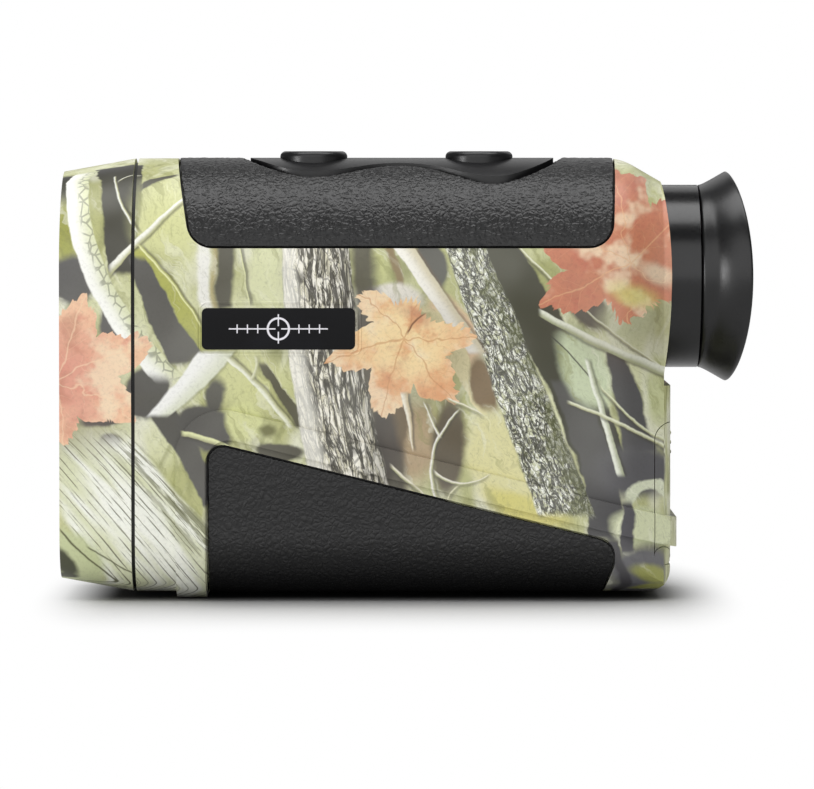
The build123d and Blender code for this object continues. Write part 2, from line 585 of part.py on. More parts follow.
# the rim is cut to a saddle: its sides reach further back than its top and bottom
SADDLE_R = 17.9           # half height of the saddle curve
SADDLE_DEPTH = 3.75
rim_points = []
for i in range(-8, 9):
    drop = SADDLE_DEPTH * (1 - math.sqrt(1 - 0.985 * (i / 8)**2))
    rim_points.append(Vector(X_RIM - drop, -40, Z_AXIS + SADDLE_R * i / 8))
saddle = behind(Edge.make_spline(rim_points), 75, 20, 90)
save("eyecup", revx(EYECUP, Z_AXIS) - saddle)
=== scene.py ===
# A hand-held optical instrument in a woodland-printed shell.
# It stands on z = 0 with its length along X and the eyecup at the +X end. Its flat sides face
# -Y and +Y, and the camera looks at the -Y side. Lengths are metres unless a name says mm.
import json
import math

import bmesh
import bpy
import numpy as np
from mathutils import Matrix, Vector


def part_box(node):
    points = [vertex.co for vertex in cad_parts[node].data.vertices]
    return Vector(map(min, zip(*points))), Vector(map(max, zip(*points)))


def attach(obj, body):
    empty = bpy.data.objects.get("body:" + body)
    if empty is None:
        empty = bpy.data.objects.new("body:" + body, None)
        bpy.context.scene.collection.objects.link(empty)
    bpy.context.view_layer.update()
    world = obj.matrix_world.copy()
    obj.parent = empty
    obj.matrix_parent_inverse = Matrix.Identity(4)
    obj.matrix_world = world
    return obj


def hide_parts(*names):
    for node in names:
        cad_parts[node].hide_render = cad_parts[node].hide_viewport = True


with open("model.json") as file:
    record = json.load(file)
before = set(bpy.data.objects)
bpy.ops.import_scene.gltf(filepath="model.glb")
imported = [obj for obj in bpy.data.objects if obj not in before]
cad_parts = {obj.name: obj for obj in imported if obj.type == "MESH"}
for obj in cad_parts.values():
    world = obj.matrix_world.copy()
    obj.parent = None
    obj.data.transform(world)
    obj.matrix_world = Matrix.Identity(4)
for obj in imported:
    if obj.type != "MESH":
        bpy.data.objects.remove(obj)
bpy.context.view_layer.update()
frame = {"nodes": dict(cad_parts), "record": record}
NODES = frame["nodes"]
SCENE = bpy.context.scene
SCENE.view_settings.view_transform = "Standard"
MM = 0.001
MM_PER_M = 1000.0


# =====================================================================
# shader graphs written as arithmetic
# =====================================================================
def linear(code):
    """#rrggbb to linear RGBA."""
    out = []
    for i in (1, 3, 5):
        c = int(code[i:i + 2], 16) / 255
        out.append(c / 12.92 if c <= 0.04045 else ((c + 0.055) / 1.055) ** 2.4)
    return (*out, 1.0)


class Value:
    """A socket that takes part in arithmetic. Each operation adds a node."""

    def __init__(self, graph, socket):
        self.graph, self.socket = graph, socket

    def calc(self, operation, *others):
        inputs = dict(enumerate((self, *others)))
        return self.graph.value("Math", inputs, operation=operation)

    def __add__(self, other): return self.calc("ADD", other)
    def __sub__(self, other): return self.calc("SUBTRACT", other)
    def __mul__(self, other): return self.calc("MULTIPLY", other)
    def __truediv__(self, other): return self.calc("DIVIDE", other)
    def __neg__(self): return self.calc("MULTIPLY", -1.0)
    def __abs__(self): return self.calc("ABSOLUTE")

    def __rsub__(self, other):
        return self.graph.value("Math", {0: other, 1: self}, operation="SUBTRACT")

    def at_least(self, other): return self.calc("MAXIMUM", other)
    def clamped(self): return self.calc("MINIMUM", 1.0).at_least(0.0)
    def sqrt(self): return self.calc("SQRT")
    def pingpong(self, reach): return self.calc("PINGPONG", reach)
    def scaled(self, by, plus): return self.calc("MULTIPLY_ADD", by, plus)

    def ease(self, off, on):
        """0 where the value is at off, 1 where it is at on; off may be above on."""
        return self.graph.value("MapRange", {0: self, 1: off, 2: on},
                                interpolation_type="SMOOTHSTEP", clamp=False)


def length(x, y):
    return x.scaled(by=x, plus=y * y).sqrt()


class Graph:
    def __init__(self, tree):
        self.tree = tree

    def put(self, socket, value):
        """Links a Value, or sets a number, a tuple or a #rrggbb colour."""
        if isinstance(value, Value):
            self.tree.links.new(value.socket, socket)
        else:
            socket.default_value = linear(value) if isinstance(value, str) else value

    def add(self, kind, inputs, **settings):
        node = self.tree.nodes.new("ShaderNode" + kind)
        for key, setting in settings.items():
            setattr(node, key, setting)
        for key, value in inputs.items():
            self.put(node.inputs[key], value)
        return node

    def value(self, kind, inputs, out=0, **settings):
        return Value(self, self.add(kind, inputs, **settings).outputs[out])

    def values(self, kind, inputs, **settings):
        return [Value(self, s) for s in self.add(kind, inputs, **settings).outputs]

    def call(self, group, *inputs):
        return self.values("Group", dict(enumerate(inputs)), node_tree=group)

    def vector(self, x, y, z=0.0):
        return self.value("CombineXYZ", {0: x, 1: y, 2: z})

    def split(self, vector):
        return self.values("SeparateXYZ", {0: vector})

    def noise(self, place, scale=1.0, detail=2.0, rough=0.5, distortion=0.0, out=0):
        """Noise at a vector, or at a tuple of its parts."""
        if isinstance(place, tuple):
            place = self.vector(*place)
        return self.value("TexNoise", {"Vector": place, "Scale": scale, "Detail": detail,
                                       "Roughness": rough, "Distortion": distortion}, out)

    def cell_edge(self, place, scale, randomness):
        """Distance to the nearest wall between irregular cells."""
        inputs = {"Vector": place, "Scale": scale, "Randomness": randomness}
        return self.value("TexVoronoi", inputs, feature="DISTANCE_TO_EDGE")

    def mix(self, mask, base, colour, amount=None):
        if amount is not None:
            mask = mask * amount
        return self.value("Mix", {0: mask, 6: base, 7: colour}, out=2,
                          data_type="RGBA", clamp_factor=True)

    def bump(self, height, strength, distance):
        return self.value("Bump", {"Strength": strength, "Distance": distance, "Height": height})


class Material(Graph):
    INPUTS = {"color": "Base Color", "rough": "Roughness", "metal": "Metallic",
              "normal": "Normal", "spec": "Specular IOR Level", "ior": "IOR",
              "trans": "Transmission Weight", "coat": "Coat Weight",
              "coat_rough": "Coat Roughness"}

    def __init__(self, name):
        self.material = bpy.data.materials.new("look_" + name)
        self.material.use_nodes = True
        super().__init__(self.material.node_tree)
        self.tree.nodes.clear()
        self.output = self.add("OutputMaterial", {})
        self.principled = self.add("BsdfPrincipled", {})
        self.surface(self.principled_shader())
        coordinates = self.add("TexCoord", {})
        self.position = Value(self, coordinates.outputs["Object"])
        self.normal = Value(self, coordinates.outputs["Normal"])

    def principled_shader(self):
        return Value(self, self.principled.outputs[0])

    def surface(self, shader):
        self.put(self.output.inputs["Surface"], shader)

    def cover(self, amount, shader):
        """Mixes another shader over the principled one."""
        self.surface(self.value("MixShader", {0: amount, 1: self.principled_shader(), 2: shader}))

    def finish(self, **inputs):
        for key, value in inputs.items():
            self.put(self.principled.inputs[self.INPUTS[key]], value)
        return self.material


class Group(Graph):
    """A node group. Names that start with c: are colours, the others are numbers."""

    def __init__(self, name, inputs, outputs):
        super().__init__(bpy.data.node_groups.new(name, "ShaderNodeTree"))
        for names, way in ((inputs, "INPUT"), (outputs, "OUTPUT")):
            for label in names:
                kind = "NodeSocketColor" if label.startswith("c:") else "NodeSocketFloat"
                self.tree.interface.new_socket(label.replace("c:", ""), in_out=way,
                                               socket_type=kind)
        entry = self.tree.nodes.new("NodeGroupInput")
        self.exit = self.tree.nodes.new("NodeGroupOutput")
        self.inputs = [Value(self, entry.outputs[i]) for i in range(len(inputs))]

    def done(self, *values):
        for socket, value in zip(self.exit.inputs, values):
            self.put(socket, value)
        return self.tree


# =====================================================================
# shapes the woodland print is made of
# =====================================================================
def patch_group():
    """Mixes a colour in over a soft-edged ellipse."""
    g = Group("patch", ("c:Base", "X", "Y", "CX", "CY", "A", "B", "C", "D", "Soft", "Amount",
                        "c:Colour"), ("c:Colour",))
    base, x, y, centre_x, centre_y, a, b, c, d, soft, amount, colour = g.inputs
    dx, dy = x - centre_x, y - centre_y
    radius = length(dx.scaled(by=a, plus=dy * b), dx.scaled(by=c, plus=dy * d))
    return g.done(g.mix(radius.ease(off=soft + 1.0, on=1.0 - soft), base, colour, amount))


# C0 to C2 are the centre line's parabola; K and W give the half-width as K * along + W
STROKE_IN = ("Along", "Across", "C0", "C1", "C2", "K", "W", "Soft", "Lo", "Hi", "Ends")


def stroke_shape(along, across, c0, c1, c2, k, w, soft, low, high, ends):
    slope = along.scaled(by=c2 * 2.0, plus=c1)
    centre = along.scaled(by=c2, plus=c1).scaled(by=along, plus=c0)
    offset = (across - centre) / slope.scaled(by=slope, plus=1.0).sqrt()
    width = along.scaled(by=k, plus=w)
    window = (along.ease(off=low - ends, on=low + ends)
              * along.ease(off=high + ends, on=high - ends))
    mask = (abs(offset) - width).ease(off=soft, on=-soft) * window
    return mask, offset, width, window


def stroke_group():
    g = Group("stroke", STROKE_IN, ("Mask", "Offset"))
    mask, offset, _, _ = stroke_shape(*g.inputs)
    return g.done(mask, offset)


def band_group():
    """Mixes a colour in along a tapered, curved band."""
    g = Group("band", STROKE_IN + ("c:Base", "c:Colour", "Amount"), ("c:Colour",))
    mask, _, _, _ = stroke_shape(*g.inputs[:11])
    base, colour, amount = g.inputs[11:]
    return g.done(g.mix(mask, base, colour, amount))


def branch_group():
    """A rounded branch with its lit side, its shaded side and the shadow it throws."""
    g = Group("branch", STROKE_IN + ("c:Base", "c:Light", "c:Shade", "c:Dark", "Amount"),
              ("c:Colour",))
    mask, offset, width, window = stroke_shape(*g.inputs[:11])
    base, light, shade, dark, amount = g.inputs[11:]
    shadow = (abs(offset - 1.7) - width).ease(off=2.0, on=-0.8) * window
    behind = g.mix(shadow, base, dark, amount)
    side = offset.ease(off=width * -0.6, on=width * 0.9)
    return g.done(g.mix(mask, behind, g.mix(side, light, shade)))


# lobes of a leaf: direction in degrees, length as a share of the radius, half-angle in degrees
LOBES = ((-90, 1.0, 36), (-38, 0.88, 33), (-142, 0.9, 33), (16, 0.7, 32), (164, 0.72, 32),
         (90, 0.40, 40))
LEAF_CORE = 0.36  # radius of the leaf between its lobes, as a share of the full radius


def leaf_group():
    """A lobed leaf with a toothed edge and ribs: mask, ribs and distance from the stalk."""
    g = Group("leaf", ("X", "Y", "CX", "CY", "R", "Angle", "Seed"), ("Mask", "Ribs", "Radius"))
    x, y, centre_x, centre_y, size, angle, seed = g.inputs
    wobble = (g.noise((x, y, seed), scale=0.022, detail=3, rough=0.55) - 0.5) * (size * 0.34)
    dx, dy = x - centre_x + wobble, y - centre_y - wobble
    radius = length(dx, dy)
    turn = dy.calc("ARCTAN2", dx) - angle
    edge, ribs = None, None
    for direction, reach, half_angle in LOBES:
        half = math.radians(half_angle)
        away = abs((turn - math.radians(direction)).calc("WRAP", math.pi, -math.pi))
        lobe = (1.0 - away * (1 / half)).at_least(0.0)
        lobe = lobe.calc("POWER", 0.92) * (reach - LEAF_CORE) + LEAF_CORE
        rib = (away * radius).ease(off=1.15, on=0.25)
        side_ribs = (radius - away * radius * 1.05 + 400.0).pingpong(6.5)
        side = side_ribs.ease(off=0.7, on=0.15) * away.ease(off=half * 0.75, on=half * 0.35)
        rib = rib.at_least(side * 0.4)
        edge = lobe if edge is None else edge.at_least(lobe)
        ribs = rib if ribs is None else ribs.at_least(rib)
    # coarse teeth, then fine ones
    saw = (turn * 13.0 + 60.0 + radius * 0.09).pingpong(1.0)
    fine = (turn * 41.0 + 90.0).pingpong(1.0)
    edge = edge * size + (saw - 0.5) * (size * 0.055) + (fine - 0.5) * (size * 0.012)
    return g.done((radius - edge).ease(off=0.9, on=-0.9), ribs, radius)


# =====================================================================
# woodland print: tables of its layers, each laid over those before it
# =====================================================================
# The shader draws on a grid of its own: x towards +X and y down, in steps of GRID_STEP_MM.
GRID_STEP_MM = 0.16595
GRID_X, GRID_Y = 406.5, 598.8  # grid position of the frame's origin

# patch: centre x, y, radius x, y, tilt in degrees, edge softness, colour, amount (1)
# band: start, middle, end, half-width at start, at end, colour,
#       edge softness (1.6), fade length at the ends (4), amount (1)
FOLIAGE = (
    # low x, above
    ("patch", 64, 160, 24, 40, 0, 0.25, "#2a292e"),
    ("patch", 66, 232, 12, 26, 0, 0.4, "#a1a352"),
    ("patch", 76, 277, 24, 26, 0, 0.2, "#4f4d54"),
    ("band", (117, 108), (121, 205), (126, 270), 24, 15, "#2d2b30", 1.4),
    ("patch", 115, 326, 14, 32, 0, 0.2, "#57555b"),
    ("patch", 170, 222, 32, 44, -25, 0.5, "#d6d89e"),
    ("band", (138, 188), (156, 178), (178, 166), 3.5, 4.0, "#4a4843", 1.4),
    ("band", (140, 246), (170, 286), (204, 348), 6, 11, "#b3b55a", 2.4),
    ("band", (140, 256), (158, 304), (190, 362), 8, 17, "#4d4b51", 1.3),
    ("band", (205, 240), (206, 275), (208, 308), 6, 6, "#f6f5ef", 3.0),
    ("band", (216, 240), (216, 275), (217, 308), 3, 3, "#a98f62", 2.5, 4.0, 0.6),
    ("band", (226, 240), (226, 275), (227, 310), 8, 8, "#4a4745", 3.0),
    ("band", (266, 240), (266, 275), (268, 310), 15, 15, "#dfe2b6", 5.0),
    ("patch", 150, 392, 22, 26, 30, 0.15, "#4b494f"),
    ("patch", 106, 416, 28, 10, -14, 0.2, "#4b4950"),
    ("patch", 112, 440, 11, 8, 0, 0.25, "#403e3a"),
    ("band", (148, 392), (176, 430), (214, 506), 13, 9, "#4c4a4e", 1.6),
    # below the badge
    ("patch", 246, 378, 44, 28, 10, 0.5, "#d8da9e"),
    ("band", (262, 362), (282, 390), (306, 424), 4, 7, "#4b473c", 1.6),
    ("patch", 217, 394, 9, 20, 0, 0.3, "#4a484b"),
    ("patch", 206, 426, 28, 22, 20, 0.15, "#4b494f"),
    ("patch", 245, 420, 19, 19, 0, 0.2, "#dcdfa2"),
    ("patch", 268, 428, 9, 6, 0, 0.5, "#6c6c3e"),
    ("patch", 280, 449, 24, 9, 4, 0.2, "#4a4642"),
    # between the two big trunks
    ("patch", 368, 268, 18, 26, 0, 0.4, "#c8cb8c"),
    ("band", (388, 240), (393, 266), (402, 292), 4, 5, "#8b7552", 2.2),
    ("patch", 432, 262, 14, 24, -24, 0.15, "#47464a"),
    ("patch", 390, 300, 32, 15, -8, 0.2, "#efeae0"),
    ("patch", 452, 330, 22, 40, -28, 0.2, "#e8c9a6"),
    ("band", (424, 306), (452, 350), (484, 412), 15, 3, "#e9dfb0", 1.2),
    ("patch", 484, 384, 13, 28, -20, 0.2, "#7b6145"),
    ("patch", 384, 440, 12, 42, 0, 0.3, "#4d4236"),
    ("patch", 414, 440, 24, 40, 0, 0.4, "#b59c7c"),
    ("patch", 398, 424, 11, 34, 8, 0.4, "#6a5643"),
    ("patch", 449, 444, 17, 50, 4, 0.25, "#54473b"),
    ("patch", 504, 462, 34, 56, -24, 0.2, "#e5e0aa"),
    ("patch", 524, 506, 44, 14, 20, 0.4, "#ddd580"),
    # from the second trunk to high x
    ("patch", 542, 280, 26, 24, 20, 0.4, "#aaad70"),
    ("band", (486, 236), (544, 330), (606, 474), 21, 24, "#2b2a24", 1.4),
    ("band", (564, 380), (592, 450), (606, 536), 14, 17, "#47464b", 1.6),
    ("patch", 584, 306, 34, 15, 42, 0.2, "#45423f"),
    ("patch", 627, 318, 24, 26, 20, 0.5, "#d0d4aa"),
    ("patch", 584, 366, 24, 40, -24, 0.25, "#cad5b3"),
    ("band", (616, 350), (626, 400), (640, 452), 9, 16, "#4b4a50", 2.2),
    ("patch", 657, 388, 13, 38, 0, 0.4, "#c8cc9c"),
    ("patch", 634, 470, 42, 26, 0, 0.3, "#57565c"),
    ("band", (624, 504), (650, 482), (676, 504), 5, 5, "#dde2c6", 1.5),
    ("patch", 648, 526, 36, 18, 12, 0.2, "#dce1ba"),
    ("band", (625, 500), (627, 525), (630, 548), 5, 6, "#535158", 1.5),
    ("patch", 642, 568, 36, 24, 0, 0.3, "#69686e"),
    ("band", (616, 534), (621, 560), (630, 596), 5, 6, "#45434a", 2.0),
    ("patch", 652, 572, 20, 9, 18, 0.4, "#a2a456"),
)

SHADE = "#b9b98d"
# branch: start, middle, end, half-width at start, at end, lit colour, shaded colour (SHADE),
#         shadow amount (0.6), shadow colour, edge softness (0.8)
FALLEN_TRUNK_MARKS = (
    ("patch", 74, 556, 34, 22, 38, 0.25, "#c6cd9e"),
    ("patch", 63, 560, 9, 20, -32, 0.35, "#34371f"),
    ("branch", (60, 528), (92, 560), (128, 588), 1.0, 0.8, "#5b5c3c", "#5b5c3c", 0.0),
    ("branch", (88, 545), (108, 558), (134, 572), 0.7, 0.7, "#66684a", "#66684a", 0.0),
)
# wide faint patches that bring the foliage a little below white
VEIL = (
    ("patch", 76, 176, 62, 44, 0, 0.8, "#4a4a3a", 0.28),
    ("patch", 300, 330, 330, 190, 0, 0.9, "#a5a474", 0.13),
)
TRUNK_SHADOW = (
    ("band", (362, 236), (372, 360), (396, 500), 10, 16, "#453f3b", 6.0, 10.0, 0.9),
)
BRANCHES = (
    ("branch", (216, 350), (192, 382), (160, 414), 15, 8, "#f7f7f2", "#dfe2cc", 0.3,
     "#47443b", 1.4),
    ("branch", (112, 268), (146, 234), (186, 198), 4.2, 1.8, "#f5f5ea"),
    ("branch", (113, 164), (117, 196), (139, 230), 0.9, 1.3, "#e9eae0"),
    ("branch", (117, 180), (126, 170), (139, 165), 0.9, 0.9, "#e9eae0"),
    ("branch", (142, 244), (172, 280), (202, 324), 1.6, 1.0, "#eceeb4", "#b5b770"),
    ("branch", (228, 354), (252, 378), (292, 424), 3.0, 2.6, "#f1f2de"),
    ("branch", (252, 378), (257, 366), (256, 354), 1.6, 1.4, "#dfe0c0", SHADE, 0.3),
    ("branch", (240, 246), (246, 274), (252, 304), 0.9, 0.8, "#e4e5b4", "#77775a"),
    ("branch", (184, 432), (208, 438), (236, 450), 2.4, 2.6, "#e6e9b4"),
    ("branch", (398, 240), (434, 290), (476, 352), 8.5, 7.5, "#f6f3e8", "#d6cdb0", 0.6,
     "#6b5743"),
    ("branch", (514, 242), (574, 300), (676, 374), 1.0, 0.9, "#e9ead0"),
    ("branch", (540, 312), (590, 338), (676, 374), 3.2, 4.6, "#e9ebd8", "#a9ad88"),
    ("branch", (552, 336), (570, 354), (590, 376), 0.6, 0.6, "#3f3e36", "#3f3e36", 0.0),
    ("branch", (586, 358), (602, 414), (620, 474), 2.2, 3.6, "#edf0e0", "#b3b89a"),
    ("branch", (568, 400), (612, 418), (676, 454), 1.6, 1.6, "#e6e8cc"),
    ("branch", (600, 384), (634, 420), (676, 444), 0.9, 1.6, "#e0e3c4"),
    ("branch", (390, 464), (408, 478), (426, 494), 1.6, 1.0, "#ece6d2"),
    ("branch", (434, 470), (454, 480), (488, 473), 1.6, 0.6, "#f4f0e0", SHADE, 0.4),
    ("branch", (458, 484), (452, 490), (448, 498), 0.9, 0.9, "#ece8cc", SHADE, 0.3),
)
# leaf: centre x, y, radius, angle in degrees, colour at the middle, at the edge, seed,
#       rib colour, mottle colour
FOREGROUND = (
    ("leaf", 407, 334, 94, 200, "#f3d8a4", "#e4ae7e", 21.0, "#c98d5c", "#dd9c6c"),
    ("leaf", 62, 374, 98, 70, "#dd9c86", "#f1c6a2", 31.0, "#f3d2ae", "#d88a78"),
    ("leaf", 626, 266, 128, -6, "#c37c5c", "#cb8164", 41.0, "#e0b084", "#b8654f"),
    ("patch", 630, 292, 20, 10, 12, 0.7, "#d3cf74", 0.7),
    ("patch", 656, 272, 20, 8, 24, 0.7, "#efe6c6", 0.6),
    # stalk of the middle leaf, and the narrow dead leaf hanging below it
    ("branch", (408, 332), (414, 322), (424, 312), 0.9, 0.7, "#8a5a36", "#6b4226", 0.0),
    ("branch", (404, 390), (409, 416), (413, 448), 3.4, 0.8, "#f0e9d6", "#cdbd9a"),
    # fine forked twig in front of everything
    ("branch", (440, 432), (431, 462), (438, 500), 1.3, 1.7, "#f6f4ea", SHADE, 0.5),
    ("branch", (424, 400), (432, 418), (440, 434), 0.7, 1.1, "#f6f4ea", SHADE, 0.4),
    ("branch", (440, 434), (448, 420), (459, 408), 1.1, 0.9, "#f6f4ea", SHADE, 0.4),
    ("branch", (448, 396), (462, 402), (482, 412), 1.2, 0.9, "#f0ecd8", SHADE, 0.4),
)


def stroke_inputs(place, start, middle, end, width0, width1, soft, ends):
    """The inputs of a stroke whose centre line is a parabola through three points."""
    x, y = place
    upright = abs(end[1] - start[1]) >= abs(end[0] - start[0])
    run, rise = (1, 0) if upright else (0, 1)
    points = (start, middle, end)
    powers = np.array([[1, p[run], p[run] ** 2] for p in points], float)
    c0, c1, c2 = (float(c) for c in
                  np.linalg.solve(powers, np.array([p[rise] for p in points], float)))
    low, high = start[run], end[run]
    if low > high:
        low, high, width0, width1 = high, low, width1, width0
    taper = (width1 - width0) / (high - low)
    along_across = (y, x) if upright else (x, y)
    return along_across + (c0, c1, c2, taper, width0 - taper * low, soft,
                           float(low), float(high), ends)


class WoodlandPrint(Material):
    """Leaves, trunks and twigs worked out from position; self.colour is the print so far."""

    WRAP = 0.85  # share of the depth from the side that moves the print along
    SIDE_MM = 19.8  # |y| where the wrap starts
    FOLD_X_MM, FOLD_FROM_MM, FOLD_Z_MM = 108.0, 60.0, 92.0  # where the print mirrors itself

    def __init__(self):
        self.patch_tree = patch_group()
        self.stroke_tree = stroke_group()
        self.band_tree = band_group()
        self.branch_tree = branch_group()
        self.leaf_tree = leaf_group()
        super().__init__("camo_shell")
        self.body = X, Y, Z = self.split(self.position)
        # the print lies straight on the sides, turns over the top and round the ends,
        # and meets its mirror image at the parting line
        normal_x, _, normal_z = self.split(self.normal)
        depth = abs(Y).scaled(by=-self.WRAP * MM_PER_M, plus=self.WRAP * self.SIDE_MM)
        wrap = depth.at_least(0.0)
        u = (X.scaled(by=MM_PER_M, plus=self.FOLD_FROM_MM)
             + wrap * abs(normal_x).ease(off=0.55, on=0.9))
        u = u.pingpong(self.FOLD_X_MM) - self.FOLD_FROM_MM
        v = (Z.scaled(by=MM_PER_M, plus=0.0)
             + wrap * abs(normal_z).ease(off=0.80, on=0.99)).pingpong(self.FOLD_Z_MM)
        self.x = x = u.scaled(by=1 / GRID_STEP_MM, plus=GRID_X)
        self.y = y = v.scaled(by=-1 / GRID_STEP_MM, plus=GRID_Y)
        waver = {"scale": 0.019, "detail": 4, "rough": 0.55}
        self.bend_x = self.noise((x, y), **waver)
        self.bend_y = self.noise((y, x, 40.0), **waver)
        # trunks and branches bend less than the patches behind them
        self.soft_place = self.bent(20.0)
        self.limb_place = self.bent(9.0)

    def bent(self, amount):
        return ((self.bend_x - 0.5).scaled(by=amount, plus=self.x),
                (self.bend_y - 0.5).scaled(by=amount, plus=self.y))

    def tint(self, mask, colour, amount=None):
        self.colour = self.mix(mask, self.colour, colour, amount)

    def draw(self, layers):
        shapes = {"patch": self.patch, "band": self.band, "branch": self.branch,
                  "leaf": self.leaf}
        for shape, *row in layers:
            shapes[shape](*row)

    def patch(self, x, y, radius_x, radius_y, tilt, soft, colour, amount=1.0):
        c, s = math.cos(math.radians(tilt)), math.sin(math.radians(tilt))
        self.colour = self.call(
            self.patch_tree, self.colour, *self.soft_place, float(x), float(y), c / radius_x,
            s / radius_x, -s / radius_y, c / radius_y, soft, amount, colour)[0]

    def band(self, start, middle, end, width0, width1, colour, soft=1.6, ends=4.0, amount=1.0):
        inputs = stroke_inputs(self.soft_place, start, middle, end, width0, width1, soft, ends)
        self.colour = self.call(self.band_tree, *inputs, self.colour, colour, amount)[0]

    def branch(self, start, middle, end, width0, width1, light, shade=SHADE, shadow=0.6,
               dark="#47443b", soft=0.8):
        inputs = stroke_inputs(self.limb_place, start, middle, end, width0, width1, soft,
                               ends=3.0)
        self.colour = self.call(self.branch_tree, *inputs, self.colour, light, shade, dark,
                                shadow)[0]

    def trunk(self, start, middle, end, width0, width1, soft, ends):
        """Mask of a trunk, the offset from its centre line, and the place along it."""
        inputs = stroke_inputs(self.limb_place, start, middle, end, width0, width1, soft, ends)
        mask, offset = self.call(self.stroke_tree, *inputs)
        return mask, offset, inputs[0]

    def leaf(self, x, y, size, angle, middle, rim, seed, rib_colour, mottle):
        # its shadow first
        self.patch(x + size * 0.12, y + size * 0.2, size * 0.6, size * 0.55, angle, 0.45,
                   "#5a4534", 0.4)
        mask, ribs, radius = self.call(self.leaf_tree, self.x, self.y, float(x), float(y),
                                       float(size), math.radians(angle), seed)
        spots = self.noise((self.x, self.y, seed + 3.0), scale=0.035, detail=5, rough=0.6)
        reach = radius + (spots - 0.5) * (size * 1.3)
        c = self.mix(reach.ease(off=size * 0.1, on=size * 0.85), middle, rim)
        c = self.mix(spots.ease(off=0.48, on=0.68), c, mottle, amount=0.7)
        tone = self.noise((self.x, self.y, seed + 8.0), scale=0.022, detail=3, rough=0.6)
        c = self.mix(tone.ease(off=0.5, on=0.36), c, "#f6e6c4", amount=0.65)
        c = self.mix(tone.ease(off=0.54, on=0.70), c, "#b06c54", amount=0.45)
        c = self.mix(ribs, c, rib_colour, amount=0.55)
        self.tint(mask, c, amount=1.0)

    def backdrop(self):
        """Soft foliage light, with long blurred blades."""
        x, y = self.x, self.y
        broad = self.noise((x * 0.9, y * 0.55, 3.0), scale=0.013, detail=3, distortion=0.6)
        gaps = self.noise((x * 1.2, y * 0.5, 9.0), scale=0.02)
        self.colour = self.mix(broad.ease(off=0.36, on=0.62), "#b9bb80", "#dcdeb4")
        self.tint(gaps.ease(off=0.5, on=0.7), "#efefdc", amount=0.9)
        self.tint(gaps.ease(off=0.43, on=0.28), "#84864e", amount=0.8)
        blur = self.noise(((x + y * 0.45) * 0.055, (y - x * 0.45) * 0.008, 1.0))
        self.tint(blur.ease(off=0.57, on=0.7), "#7b7c45", amount=0.5)
        self.tint(blur.ease(off=0.42, on=0.3), "#f0f1d6", amount=0.5)

    def blades(self, strength, seed):
        """Fine raked blades and stems, only over foliage: the gaps stay dark."""
        x, y = self.x, self.y
        strength = self.split(self.colour)[1].ease(off=0.10, on=0.32) * strength
        across = (x * 0.86 - y * 0.5) + (self.bend_x - 0.5) * 60.0
        along = x * 0.5 + y * 0.86
        blade = self.noise((across * 0.085, along * 0.011, seed), detail=3, rough=0.6)
        stem = self.noise((across * 0.17, along * 0.02, seed + 4.0), rough=0.55)
        self.tint(blade.ease(off=0.55, on=0.66), "#8a8c50", strength)
        self.tint(blade.ease(off=0.44, on=0.34), "#f7f7e4", strength * 0.9)
        self.tint(abs(stem - 0.5).ease(off=0.018, on=0.005), "#6d6e40", strength * 0.4)

    def bark(self, mask, offset, along, light, shade, crack, across_scale, along_scale,
             half_width, seed):
        coarse = self.noise((offset * across_scale, along * along_scale, seed),
                            detail=4, rough=0.6, distortion=1.2)
        fine = self.noise((offset * (across_scale * 2.3), along * (along_scale * 3.2), seed + 5),
                          detail=3, rough=0.6, distortion=0.8)
        c = self.mix(fine.ease(off=0.36, on=0.62), shade, light)
        c = self.mix(offset.ease(off=half_width * 0.25, on=half_width), c, crack, amount=0.55)
        fissures = abs(coarse - 0.5).ease(off=0.075, on=0.022).at_least(
            abs(fine - 0.47).ease(off=0.022, on=0.004) * 0.8)
        c = self.mix(fissures, c, crack, amount=0.9)
        place = self.vector(offset * (across_scale * 1.3), along * (along_scale * 2.6), seed + 2)
        plates = self.cell_edge(place, scale=1.0, randomness=0.9)
        c = self.mix(plates.ease(off=0.07, on=0.01), c, crack, amount=0.55)
        self.tint(mask, c)

    def fallen_trunk(self):
        """Pale trunk at low x, below, with long raked fibres."""
        x, y = self.x, self.y
        mask, offset, down = self.trunk((80, 436), (136, 520), (226, 618), 48, 60,
                                        soft=4, ends=14)
        bend = (down - 560.0) * (down - 560.0) * 0.0007
        along = x * 0.62 + y * 0.785
        across = x * 0.785 - y * 0.62 + bend
        broad = self.noise((across * 0.045, along * 0.007, 2.0))
        middle = self.noise((across * 0.16, along * 0.020, 8.0), detail=3, rough=0.55)
        fine = self.noise((across * 0.30, along * 0.028, 5.0))
        fibre = (across + (broad - 0.5) * 9.0 + 400.0).pingpong(3.7)
        groove = (across + (middle - 0.5) * 7.0 + 400.0).pingpong(5.3)
        c = self.mix(broad.ease(off=0.40, on=0.60), "#dcdfbd", "#f8f9ef")
        c = self.mix(fibre.ease(off=0.95, on=0.25) * fine.ease(off=0.40, on=0.56),
                     c, "#55543e", amount=0.85)
        c = self.mix(groove.ease(off=0.75, on=0.2) * fine.ease(off=0.56, on=0.42),
                     c, "#6a6a4c", amount=0.75)
        c = self.mix(offset.ease(off=16, on=42) * middle.ease(off=0.46, on=0.56),
                     c, "#5f603a", amount=0.75)
        self.tint(mask, c)
        self.draw(FALLEN_TRUNK_MARKS)

